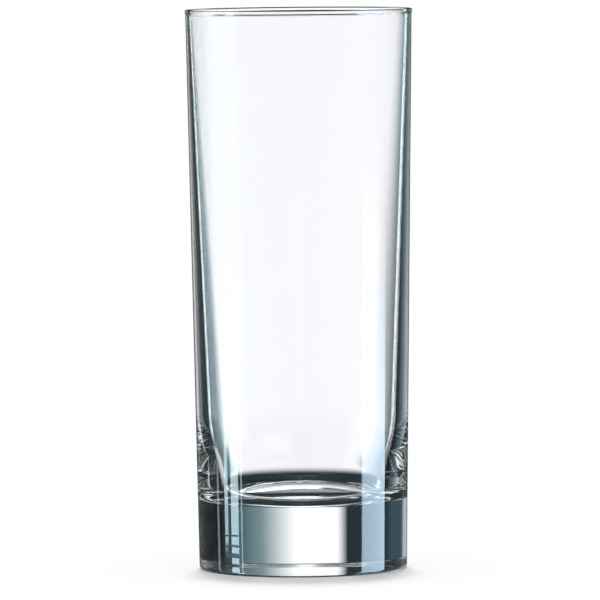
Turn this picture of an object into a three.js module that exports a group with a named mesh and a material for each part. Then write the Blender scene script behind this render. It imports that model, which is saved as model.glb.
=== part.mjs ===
// A tall straight-sided tumbler: one piece of clear glass with a thin round rim,
// a wall that thickens on its way down, and a heavy solid base.
// Millimetres, +Z up. The origin is on the axis, in the plane that the glass stands on.
import * as THREE from "three";

// Overall size
const height = 160; // from the bearing ring to the top of the rim
const rimDiameter = 65; // outside, over the bead
const footDiameter = 59.4; // outside, where the line of the wall meets the table

// Rim: the wall ends in a round, fire-polished bead
const beadProud = 0.2; // how far the bead stands out from each face of the wall under it

// Wall: measured square to the axis
const wallAtRim = 1.05;
const wallAtShoulder = 3.7;

// Inside bottom: below a soft shoulder the inside draws in, then turns into the floor, which is domed
const shoulderHeight = 38.2; // above the table
const shoulderRadius = 66;
const shoulderLean = 11; // degrees from upright, between the shoulder and the floor
const floorHeight = 18.4; // where the lean and the dome would meet in a sharp corner
const floorCornerRadius = 6; // where the inside turns into the floor
const domeRise = 1.7; // the middle of the floor, above that corner
const domeShoulder = 9.6; // radius at which the dome's flank would reach its top

// Base
const footEdgeRadius = 1.2; // outside, where the wall turns under
const bearingRingWidth = 7; // the flat ring that the glass stands on
const recessDepth = 0.6; // the shallow dome inside that ring keeps it from rocking

// Facets of the solid
const facetsAround = 96;
const facetsPerCurve = 5; // an arc gets twice as many

// Finish
const glassColour = 0xe6f1f2;
const glassRoughness = 0.02;
const glassOpacity = 0.35;

const point = (radius, z) => new THREE.Vector2(radius, z);

// Draws a straight run that ends in an arc of the given radius, tangent to both sides of the corner.
function roundCorner(path, before, corner, after, radius) {
  const back = before.clone().sub(corner).normalize();
  const ahead = after.clone().sub(corner).normalize();
  const halfAngle = Math.acos(back.dot(ahead)) / 2;
  const middle = back.clone().add(ahead).normalize();
  const centre = corner.clone().addScaledVector(middle, radius / Math.sin(halfAngle));
  const toTangent = radius / Math.tan(halfAngle);
  const start = corner.clone().addScaledVector(back, toTangent).sub(centre);
  const end = corner.clone().addScaledVector(ahead, toTangent).sub(centre);
  const turnsRight = back.cross(ahead) > 0;
  path.absarc(centre.x, centre.y, radius, start.angle(), end.angle(), turnsRight);
}

// Half of the section, from the axis under the base, up the outside, over the rim and down the inside.
function tumblerSection() {
  const beadRadius = wallAtRim / 2 + beadProud;
  const beadCentre = point(rimDiameter / 2 - beadRadius, height - beadRadius);

  const footCorner = point(footDiameter / 2, 0);
  const outerTop = point(rimDiameter / 2 - beadProud, beadCentre.y);
  const innerTop = point(outerTop.x - wallAtRim, beadCentre.y);

  const outerSlope = (outerTop.x - footCorner.x) / (outerTop.y - footCorner.y);
  const outerRadiusAtShoulder = footCorner.x + outerSlope * shoulderHeight;
  const shoulder = point(outerRadiusAtShoulder - wallAtShoulder, shoulderHeight);
  const drawIn = (shoulderHeight - floorHeight) * Math.tan(THREE.MathUtils.degToRad(shoulderLean));
  const floorCorner = point(shoulder.x - drawIn, floorHeight);
  const dome = point(domeShoulder, floorHeight + domeRise);

  const footEdgeReach = footEdgeRadius * Math.tan(Math.PI / 4 - Math.atan(outerSlope) / 2);
  const ringOuter = point(footCorner.x - footEdgeReach, 0);
  const ringInner = point(ringOuter.x - bearingRingWidth, 0);

  const section = new THREE.Path();
  section.moveTo(0, recessDepth);
  section.quadraticCurveTo(ringInner.x / 2, recessDepth, ringInner.x, ringInner.y);
  roundCorner(section, ringInner, footCorner, outerTop, footEdgeRadius);

  const beadUndercut = Math.acos(wallAtRim / 2 / beadRadius);
  section.absarc(beadCentre.x, beadCentre.y, beadRadius, -beadUndercut, Math.PI + beadUndercut, false);

  roundCorner(section, innerTop, shoulder, floorCorner, shoulderRadius);
  roundCorner(section, shoulder, floorCorner, dome, floorCornerRadius);
  section.quadraticCurveTo(dome.x, dome.y, 0, dome.y);
  return section.getPoints(facetsPerCurve);
}

function glassMaterial() {
  return new THREE.MeshStandardMaterial({
    color: glassColour,
    roughness: glassRoughness,
    metalness: 0,
    transparent: true,
    opacity: glassOpacity,
  });
}

function tumblerGlass() {
  const geometry = new THREE.LatheGeometry(tumblerSection(), facetsAround);
  const mesh = new THREE.Mesh(geometry, glassMaterial());
  mesh.name = "tumbler_glass";
  mesh.rotation.x = Math.PI / 2; // a lathe turns about Y, and the glass stands on Z
  return mesh;
}

const tumbler = new THREE.Group();
tumbler.add(tumblerGlass());

export default tumbler;
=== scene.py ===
# A tall tumbler in clear glass, standing on a pale table in a plain studio
import math

import bmesh
import bpy
from mathutils import Euler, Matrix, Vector


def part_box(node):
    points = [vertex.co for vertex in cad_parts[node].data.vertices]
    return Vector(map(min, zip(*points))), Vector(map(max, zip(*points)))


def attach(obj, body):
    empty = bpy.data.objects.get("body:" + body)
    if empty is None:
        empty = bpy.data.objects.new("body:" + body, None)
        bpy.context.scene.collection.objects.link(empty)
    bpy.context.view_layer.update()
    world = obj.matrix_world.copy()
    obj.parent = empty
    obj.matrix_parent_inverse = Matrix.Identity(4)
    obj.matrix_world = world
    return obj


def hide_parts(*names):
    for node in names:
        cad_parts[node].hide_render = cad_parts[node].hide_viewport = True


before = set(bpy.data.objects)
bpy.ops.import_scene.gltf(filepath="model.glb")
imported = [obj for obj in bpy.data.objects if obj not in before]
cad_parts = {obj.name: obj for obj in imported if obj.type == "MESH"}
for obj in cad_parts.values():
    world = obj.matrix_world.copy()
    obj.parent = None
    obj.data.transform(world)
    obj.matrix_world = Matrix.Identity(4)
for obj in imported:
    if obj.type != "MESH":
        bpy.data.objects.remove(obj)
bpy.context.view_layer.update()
scene = bpy.context.scene
mm = 0.001  # the glass is drawn in millimetres, and Blender works in metres
print("frame loaded:", sorted(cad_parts))

# Camera
viewpoint = {
    "distance": 1.97,  # metres from the axis of the glass
    "height": 0.1966,  # metres above the table
    "aim": (-0.000275, 0.0, 0.0768),  # the point in the middle of the picture
    "roll": 0.518,  # degrees, the glass leans a little to the left in the picture
    "lens": 414.2,
    "sensor": 36,
    "nearest": 0.05,  # metres, what the camera shows lies between these two
    "farthest": 50,
}


def addCamera(spec):
    camData = bpy.data.cameras.new("studioCamera")
    camData.lens = spec["lens"]
    camData.sensor_width = spec["sensor"]
    camData.clip_start = spec["nearest"]
    camData.clip_end = spec["farthest"]
    cam = bpy.data.objects.new("studioCamera", camData)
    scene.collection.objects.link(cam)
    cam.location = Vector((0, -spec["distance"], spec["height"]))
    aimLine = Vector(spec["aim"]) - cam.location
    lookAt = aimLine.to_track_quat("-Z", "Y")
    lean = Euler((0, 0, math.radians(-spec["roll"]))).to_quaternion()
    cam.rotation_mode = "QUATERNION"
    cam.rotation_quaternion = lookAt @ lean
    scene.camera = cam


addCamera(viewpoint)
print("camera set")

# Glass body, in millimetres
tumbler = {
    "footRadius": 29.7,  # where the line of the outer wall meets the table
    "footRound": 1.2,
    "wallAtRim": 1.05,
    "beadProud": 0.2,  # how far the rim's bead stands out from each face of the wall
    "beadHeight": 1.3,
    "beadSides": 0.6,  # share of that height over which the bead has its full width
    "beadRound": 0.6,
    "beadStartRound": 0.3,
    "neckRound": 0.5,  # where the wall runs out into the bead
    "shoulderHeight": 38.2,  # where the inside starts to draw in towards the floor
    "shoulderWall": 3.7,
    "shoulderRound": 66.0,
    "floorTilt": 11.0,  # degrees, how far the inside leans below the shoulder
    "floorHeight": 18.4,  # where the lean and the dome would meet in a sharp corner
    "floorRound": 6.0,
    "floorRise": 1.7,  # the middle of the floor, above that corner
    "domeTop": 0.42,  # share of the floor's radius at which the dome's flank would reach its top
    "domeArc": 0.6,  # share of the flank that the arc at its top takes up
    "ringWidth": 7.0,  # the flat ring that the glass stands on
    "ringRound": 4.0,
    "recessDepth": 0.68,
    "recessTop": 0.55,  # share of the recess's radius that would be flat
    "recessRound": 200.0,
    "longRun": 60.0,  # straight runs over this length get wallCuts
    "shortRun": 5.0,  # and those that are then still over this one get floorCuts
    "wallCuts": 38,
    "floorCuts": 5,
    "stepsRound": 128,
    "weld": 0.001,  # points nearer to each other than this become one
    "smoothLevels": 1,
}


def roundCorner(bm, vert, radius, segments):
    first, second = [e.other_vert(vert).co - vert.co for e in vert.link_edges]
    halfAngle = first.angle(second) / 2
    bmesh.ops.bevel(
        bm, geom=[vert], offset=radius / math.tan(halfAngle), offset_type="OFFSET",
        segments=segments, profile=0.5, affect="VERTICES", material=-1, clamp_overlap=True,
    )


def tumblerOutline(bm, spec):
    lowest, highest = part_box("tumbler_glass")
    height = highest.z / mm
    rim = highest.x / mm
    outerTop = rim - spec["beadProud"]
    innerTop = outerTop - spec["wallAtRim"]
    beadInner = innerTop - spec["beadProud"]
    neck = height - spec["beadHeight"]
    beadStart = height - spec["beadHeight"] * spec["beadSides"]

    foot = spec["footRadius"]
    slope = (outerTop - foot) / neck
    shoulder = foot + slope * spec["shoulderHeight"] - spec["shoulderWall"]
    drop = spec["shoulderHeight"] - spec["floorHeight"]
    floorEdge = shoulder - drop * math.tan(math.radians(spec["floorTilt"]))
    floorTop = spec["floorHeight"] + spec["floorRise"]
    flank = Vector((floorEdge * (1 - spec["domeTop"]), spec["floorRise"]))
    flankAngle = math.atan2(flank.y, flank.x)
    domeRound = flank.length * spec["domeArc"] / math.tan(flankAngle / 2)
    ringInner = foot - spec["footRound"] - spec["ringWidth"]

    corners = [  # radius, height, rounding radius, segments
        (0, spec["recessDepth"], 0, 0),
        (ringInner * spec["recessTop"], spec["recessDepth"], spec["recessRound"], 6),
        (ringInner, 0, spec["ringRound"], 3),
        (foot, 0, spec["footRound"], 10),
        (outerTop, neck, spec["neckRound"], 2),
        (rim, beadStart, spec["beadStartRound"], 2),
        (rim, height, spec["beadRound"], 6),
        (beadInner, height, spec["beadRound"], 6),
        (beadInner, beadStart, spec["beadStartRound"], 2),
        (innerTop, neck, spec["neckRound"], 2),
        (shoulder, spec["shoulderHeight"], spec["shoulderRound"], 12),
        (floorEdge, spec["floorHeight"], spec["floorRound"], 20),
        (floorEdge * spec["domeTop"], floorTop, domeRound, 12),
        (0, floorTop, 0, 0),
    ]
    verts = [bm.verts.new((r * mm, 0, z * mm)) for r, z, _, _ in corners]
    for pair in zip(verts, verts[1:]):
        bm.edges.new(pair)
    for vert, (_, _, radius, segments) in zip(verts, corners):
        if segments:
            roundCorner(bm, vert, radius * mm, segments)


def cutLongEdges(bm, spec):
    walls = [e for e in bm.edges if e.calc_length() > spec["longRun"] * mm]
    bmesh.ops.subdivide_edges(bm, edges=walls, cuts=spec["wallCuts"])
    flats = [e for e in bm.edges if e.calc_length() > spec["shortRun"] * mm]
    bmesh.ops.subdivide_edges(bm, edges=flats, cuts=spec["floorCuts"])


def makeTumbler(spec):
    bm = bmesh.new()
    tumblerOutline(bm, spec)
    cutLongEdges(bm, spec)
    bmesh.ops.spin(
        bm, geom=bm.verts[:] + bm.edges[:], cent=(0, 0, 0), axis=(0, 0, 1), dvec=(0, 0, 0),
        angle=math.tau, steps=spec["stepsRound"], use_merge=True, use_normal_flip=False,
        use_duplicate=False,
    )
    bmesh.ops.remove_doubles(bm, verts=bm.verts[:], dist=spec["weld"] * mm)
    bmesh.ops.recalc_face_normals(bm, faces=bm.faces[:])
    for face in bm.faces:
        face.smooth = True
    mesh = bpy.data.meshes.new("tumbler_body")
    bm.to_mesh(mesh)
    bm.free()
    body = bpy.data.objects.new("tumbler_body", mesh)
    scene.collection.objects.link(body)
    smooth = body.modifiers.new("smooth", "SUBSURF")
    smooth.levels = smooth.render_levels = spec["smoothLevels"]
    return body


# Node helpers: a value is a number, a colour or another node's socket
def feed(tree, socket, value):
    if isinstance(value, tuple):
        socket.default_value = (*value, 1)
    elif isinstance(value, (int, float)):
        socket.default_value = value
    else:
        tree.links.new(value, socket)


def mathNode(tree, operation, *values):
    node = tree.nodes.new("ShaderNodeMath")
    node.operation = operation
    for socket, value in zip(node.inputs, values):
        feed(tree, socket, value)
    return node.outputs[0]


def slide(tree, value, start, end):
    node = tree.nodes.new("ShaderNodeMapRange")
    node.interpolation_type = "SMOOTHSTEP"
    feed(tree, node.inputs["Value"], value)
    feed(tree, node.inputs["From Min"], start)
    feed(tree, node.inputs["From Max"], end)
    return node.outputs["Result"]


def between(tree, value, span):
    start, full, fade, end = span
    return mathNode(tree, "MULTIPLY", slide(tree, value, start, full), slide(tree, value, end, fade))


def mixColour(tree, factor, first, second, blend="MIX"):
    node = tree.nodes.new("ShaderNodeMix")
    node.data_type = "RGBA"
    node.blend_type = blend
    feed(tree, node.inputs[0], factor)
    feed(tree, node.inputs[6], first)  # 6 and 7 are the two colours, and output 2 is their mix
    feed(tree, node.inputs[7], second)
    return node.outputs[2]


white = (1, 1, 1)

# Clear glass
glass = {
    "colour": (0.985, 0.995, 1.0),
    "ior": 1.52,
    "shade": (0.3, 0.31, 0.32),  # what is left of a lamp's light after each face of the thick base
    "shadeSpan": (24 * mm, 14 * mm),  # the thin wall above lets the light through
    "gathered": 0.75,  # in the middle the base gathers light, and shades less
    "gatheredSpan": (4 * mm, 18 * mm),
}


def clearGlass(spec):
    mat = bpy.data.materials.new("clearGlass")
    mat.use_nodes = True
    tree = mat.node_tree
    tree.nodes.clear()
    out = tree.nodes.new("ShaderNodeOutputMaterial")
    mix = tree.nodes.new("ShaderNodeMixShader")
    path = tree.nodes.new("ShaderNodeLightPath")
    body = tree.nodes.new("ShaderNodeBsdfPrincipled")
    feed(tree, body.inputs["Base Color"], spec["colour"])
    feed(tree, body.inputs["Transmission Weight"], 1)
    feed(tree, body.inputs["IOR"], spec["ior"])
    feed(tree, body.inputs["Roughness"], 0)

    # a lamp's light goes through, with a share lost in the base
    through = tree.nodes.new("ShaderNodeBsdfTransparent")
    coord = tree.nodes.new("ShaderNodeTexCoord")
    split = tree.nodes.new("ShaderNodeSeparateXYZ")
    tree.links.new(coord.outputs["Object"], split.inputs[0])
    thick = slide(tree, split.outputs["Z"], *spec["shadeSpan"])
    aside = slide(tree, mathNode(tree, "ABSOLUTE", split.outputs["X"]), *spec["gatheredSpan"])
    thick = mathNode(tree, "MULTIPLY", thick, mathNode(tree, "MAXIMUM", aside, spec["gathered"]))
    feed(tree, through.inputs["Color"], mixColour(tree, thick, white, spec["shade"]))

    tree.links.new(path.outputs["Is Shadow Ray"], mix.inputs[0])
    tree.links.new(body.outputs[0], mix.inputs[1])
    tree.links.new(through.outputs[0], mix.inputs[2])
    tree.links.new(mix.outputs[0], out.inputs["Surface"])
    return mat


body = makeTumbler(tumbler)
body.data.materials.append(clearGlass(glass))
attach(body, "root")
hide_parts("tumbler_glass")
print("glass made:", len(body.data.vertices), "points")

# Table
table = {
    "size": 6.0,  # metres
    "colour": (0.95, 0.95, 0.95),
    "roughness": 0.9,
}


def paleTable(spec):
    mat = bpy.data.materials.new("paleTable")
    mat.use_nodes = True
    tree = mat.node_tree
    paint = tree.nodes["Principled BSDF"]
    feed(tree, paint.inputs["Base Color"], spec["colour"])
    feed(tree, paint.inputs["Roughness"], spec["roughness"])
    feed(tree, paint.inputs["Specular IOR Level"], 0)
    return mat


def addTable(spec):
    bm = bmesh.new()
    bmesh.ops.create_grid(bm, x_segments=1, y_segments=1, size=spec["size"] / 2)
    mesh = bpy.data.meshes.new("table")
    bm.to_mesh(mesh)
    bm.free()
    top = bpy.data.objects.new("table", mesh)
    scene.collection.objects.link(top)
    mesh.materials.append(paleTable(spec))
    top.visible_transmission = False  # the glass shows the studio instead
    top.visible_glossy = False


addTable(table)

# Soft lamp high behind the glass, which draws the shadow in front of the foot
lamp = {
    "strength": 2.6,
    "softness": 25,  # degrees
    "lean": 46,  # degrees from straight down
}


def addLamp(spec):
    lampData = bpy.data.lights.new("softLamp", "SUN")
    lampData.energy = spec["strength"]
    lampData.angle = math.radians(spec["softness"])
    sun = bpy.data.objects.new("softLamp", lampData)
    scene.collection.objects.link(sun)
    sun.rotation_euler = (math.radians(-spec["lean"]), 0, 0)
    sun.visible_transmission = False
    sun.visible_glossy = False


addLamp(lamp)
print("table and lamp set")

# Studio: what the glass shows of the room, by direction, in degrees. A turn is from straight behind
# the glass, to the right, and a rise is from level. Four angles are a start, full, still full and an end.
dark = (0.022, 0.033, 0.036)
studio = {
    "ambient": (0.5, 0.5, 0.5),  # what lights the table, besides the lamp
    "panelReach": 45,  # the back panel's stops lie within this turn to each side
    "throughBase": {
        "rise": (-40, -32, 35, 50),
        "straightRise": (-25, -15, 13, 18),  # for light that wasn't mirrored on its way
        "overheadRise": (35, 50),  # the panel arches over the glass, and draws together there
        "pull": 1.6,
        "stops": [(-17.5, dark), (-13.2, (1.1, 1.1, 1.11)), (3, (1.1, 1.1, 1.11)),
                  (10, (0.55, 0.63, 0.66)), (16, (0.21, 0.30, 0.33)), (25, (0.09, 0.15, 0.18)),
                  (40, (0.01, 0.013, 0.013))],
    },
    "throughHollow": {
        "rise": (-37.5, -22.5, 6, 12),
        "level": 6.3,  # nearer to level than this the panel ends sooner on the right
        "narrowing": 0.2,
        "shade": (0.57, 0.53, 0.5),  # dimmer low on the right, behind the box that the outside mirrors
        "shadeTurn": (6, 9.5),
        "shadeRise": (-3.6, -6.3),
        "stops": [(-34, dark), (-22, (0.1, 0.16, 0.18)), (-14.5, (0.22, 0.3, 0.33)),
                  (-12.5, (0.5, 0.6, 0.63)), (-10, (1.15, 1.15, 1.17)), (0, (1.09, 1.08, 1.1)),
                  (9.5, (1.18, 1.15, 1.17)), (13, (0.88, 0.93, 0.98)), (16.5, (0.48, 0.58, 0.64)),
                  (25, (0.12, 0.17, 0.2)), (40, dark)],
    },
    "innerEdge": {  # the brightest part of the back panel, which lights the wall's inner edge
        "turn": (-16, -13, 1, 4),
        "rise": (-16, -13, 0, 3),
        "hot": (5.3, 5.5, 5.6),
        "glow": (0.3, 0.38, 0.4),
    },
    "sidePanels": [
        {"turn": (-118, -106, -80, -57), "rise": (-28, -20, 20, 28), "light": (1.15, 1.2, 1.25)},
        {"turn": (-70, -60, -50, -40), "rise": (-12, -8, 8, 12), "light": (0.05, 0.09, 0.12)},
        {"turn": (-75, -68, -26, -20), "rise": (21.5, 23.5, 27, 29), "light": (0.45, 0.48, 0.5)},
        {"turn": (104, 112, 158, 166), "rise": (8, 11, 20, 24), "light": (1.1, 1.12, 1.14)},
    ],
    "straightPanels": [  # for light that wasn't mirrored on its way; the last is the table underneath
        {"turn": (-75, -68, -26, -20), "rise": (-44, -38, -23, -20), "light": (1.0, 1.02, 1.04)},
        {"turn": (104, 112, 158, 166), "rise": (-45, -38, -4, -2), "light": (1.1, 1.12, 1.14)},
        {"turn": (-182, -181, 181, 182), "rise": (-92, -91, -78, -72), "light": (0.93, 0.95, 0.96)},
    ],
    "boxes": [  # what the outside of the glass mirrors
        {"turn": (77, 79, 110, 113), "rise": (-40, -35, -6.3, -3.6), "light": (7.0, 9.4, 11.6)},
        {"turn": (-89.8, -88.8, -84.8, -83.8), "rise": (-6.9, -6.7, -6.2, -5.6), "light": (6.3, 8.3, 9.5)},
        {"turn": (-105, -104, -94.4, -93.4), "rise": (-40, -35, -6.2, -5.6), "light": (7.6, 10.2, 11.6)},
        {"turn": (-75.2, -74.4, -71.6, -70.8), "rise": (-40, -35, -6.2, -5.6), "light": (2.2, 2.6, 2.8)},
        {"turn": (-110.2, -109.4, -108.2, -107.4), "rise": (-40, -35, -6.2, -5.6), "light": (4.8, 6.0, 6.4)},
    ],
    "bars": {  # across the boxes on the left
        "turn": (-106, -105.5, -83, -82.5),
        "tilt": 0.0115,  # degrees of rise per degree of turn
        "rises": [(-5.716, -5.711, -5.701, -5.696), (-5.806, -5.8, -5.786, -5.78),
                  (-5.91, -5.9, -5.862, -5.852), (-6.3, -6.2, -6.03, -6.0)],
        "light": (0.5, 0.8, 1.0),
    },
    # Counts of what the light has met are told apart halfway from one count to the next
    "mirroredOnce": 1.5,  # the ray's start counts as one
    "mirroredOften": 2.5,
    "bothWalls": 3.5,
    "longWay": 5.5,
    "atAll": 0.5,
}


def followLight(tree, spec):
    path = tree.nodes.new("ShaderNodeLightPath").outputs
    coord = tree.nodes.new("ShaderNodeTexCoord")
    split = tree.nodes.new("ShaderNodeSeparateXYZ")
    tree.links.new(coord.outputs["Generated"], split.inputs[0])
    right, away, up = split.outputs
    passed = path["Transmission Depth"]
    mirrorings = mathNode(tree, "SUBTRACT", path["Ray Depth"], passed)
    bothWalls = mathNode(tree, "GREATER_THAN", passed, spec["bothWalls"])
    longWay = mathNode(tree, "GREATER_THAN", path["Ray Depth"], spec["longWay"])
    return {
        "turn": mathNode(tree, "DEGREES", mathNode(tree, "ARCTAN2", right, away)),
        "rise": mathNode(tree, "DEGREES", mathNode(tree, "ARCSINE", up)),
        "across": mathNode(tree, "DEGREES", mathNode(tree, "ARCSINE", right)),
        "straight": mathNode(tree, "LESS_THAN", mirrorings, spec["mirroredOnce"]),
        "often": mathNode(tree, "GREATER_THAN", mirrorings, spec["mirroredOften"]),
        "bothWalls": bothWalls,
        "alongInside": mathNode(tree, "MULTIPLY", longWay, bothWalls),
        "throughGlass": mathNode(tree, "GREATER_THAN", passed, spec["atAll"]),
        "offTable": mathNode(tree, "GREATER_THAN", path["Diffuse Depth"], spec["atAll"]),
        "offGlass": path["Is Glossy Ray"],
        "toCamera": path["Is Camera Ray"],
    }


def backPanel(tree, turn, mask, stops, reach):
    place = tree.nodes.new("ShaderNodeMapRange")
    feed(tree, place.inputs["Value"], turn)
    feed(tree, place.inputs["From Min"], -reach)
    feed(tree, place.inputs["From Max"], reach)
    node = tree.nodes.new("ShaderNodeValToRGB")
    ramp = node.color_ramp.elements
    while len(ramp) < len(stops):
        ramp.new(0.5)
    for stop, (degrees, light) in zip(ramp, stops):
        stop.position = (degrees + reach) / (2 * reach)
        stop.color = (*light, 1)
    feed(tree, node.inputs[0], place.outputs[0])
    return mixColour(tree, mask, dark, node.outputs[0])


def throughBase(tree, light, spec, reach):
    rise = light["rise"]
    overhead = mathNode(tree, "MULTIPLY", light["often"], slide(tree, rise, *spec["overheadRise"]))
    pulled = mathNode(tree, "MULTIPLY", mathNode(tree, "MULTIPLY", light["across"], spec["pull"]), overhead)
    level = mathNode(tree, "MULTIPLY", light["turn"], mathNode(tree, "SUBTRACT", 1, overhead))
    turn = mathNode(tree, "ADD", pulled, level)
    mirrored = mathNode(tree, "SUBTRACT", 1, light["straight"])
    allowed = mathNode(tree, "MAXIMUM", between(tree, rise, spec["straightRise"]), mirrored)
    mask = mathNode(tree, "MAXIMUM", between(tree, rise, spec["rise"]), overhead)
    return backPanel(tree, turn, mathNode(tree, "MULTIPLY", mask, allowed), spec["stops"], reach)


def throughHollow(tree, light, spec, reach):
    rise = light["rise"]
    nearLevel = mathNode(tree, "SUBTRACT", spec["level"], mathNode(tree, "ABSOLUTE", rise))
    nearLevel = mathNode(tree, "MAXIMUM", nearLevel, 0)
    onRight = mathNode(tree, "MULTIPLY", mathNode(tree, "GREATER_THAN", light["turn"], 0), spec["narrowing"])
    narrow = mathNode(tree, "ADD", mathNode(tree, "MULTIPLY", nearLevel, onRight), 1)
    turn = mathNode(tree, "MULTIPLY", light["turn"], narrow)
    panel = backPanel(tree, turn, between(tree, rise, spec["rise"]), spec["stops"], reach)
    shaded = slide(tree, turn, *spec["shadeTurn"])
    shaded = mathNode(tree, "MULTIPLY", shaded, slide(tree, rise, *spec["shadeRise"]))
    return mixColour(tree, shaded, panel, spec["shade"], "MULTIPLY")


def addPanel(tree, turn, rise, under, spec, only=1):
    mask = mathNode(tree, "MULTIPLY", between(tree, turn, spec["turn"]), between(tree, rise, spec["rise"]))
    mask = mathNode(tree, "MULTIPLY", mask, only)
    return mixColour(tree, mask, under, spec["light"])


def innerEdge(tree, light, under, spec):
    bright = mixColour(tree, between(tree, light["turn"], spec["turn"]), spec["glow"], spec["hot"])
    mask = mathNode(tree, "MULTIPLY", between(tree, light["rise"], spec["rise"]), light["alongInside"])
    return mixColour(tree, mask, under, bright)


def mirroredBoxes(tree, light, boxes, bars):
    shown = dark
    for box in boxes:
        shown = addPanel(tree, light["turn"], light["rise"], shown, box)
    tilt = mathNode(tree, "MULTIPLY", light["turn"], bars["tilt"])
    tilted = mathNode(tree, "SUBTRACT", light["rise"], tilt)
    for barRise in bars["rises"]:
        shown = addPanel(tree, light["turn"], tilted, shown, {**bars, "rise": barRise})
    return shown


def addStudio(spec):
    world = bpy.data.worlds.new("studio")
    scene.world = world
    world.use_nodes = True
    tree = world.node_tree
    tree.nodes.clear()
    out = tree.nodes.new("ShaderNodeOutputWorld")
    back = tree.nodes.new("ShaderNodeBackground")
    tree.links.new(back.outputs[0], out.inputs[0])

    light = followLight(tree, spec)
    base = throughBase(tree, light, spec["throughBase"], spec["panelReach"])
    hollow = throughHollow(tree, light, spec["throughHollow"], spec["panelReach"])
    behind = mixColour(tree, light["bothWalls"], base, hollow)
    for panel in spec["sidePanels"]:
        behind = addPanel(tree, light["turn"], light["rise"], behind, panel)
    for panel in spec["straightPanels"]:
        behind = addPanel(tree, light["turn"], light["rise"], behind, panel, light["straight"])
    behind = innerEdge(tree, light, behind, spec["innerEdge"])
    mirrored = mirroredBoxes(tree, light, spec["boxes"], spec["bars"])

    # the camera itself sees plain white
    shown = mixColour(tree, light["offGlass"], white, mirrored)
    shown = mixColour(tree, light["throughGlass"], shown, behind)
    shown = mixColour(tree, light["offTable"], shown, spec["ambient"])
    shown = mixColour(tree, light["toCamera"], shown, white)
    tree.links.new(shown, back.inputs[0])


addStudio(studio)
print("studio set")

# Light is followed far enough to come out of the thick base
bounces = 48
scene.cycles.max_bounces = bounces
scene.cycles.glossy_bounces = bounces
scene.cycles.transmission_bounces = bounces
scene.view_settings.view_transform = "Standard"
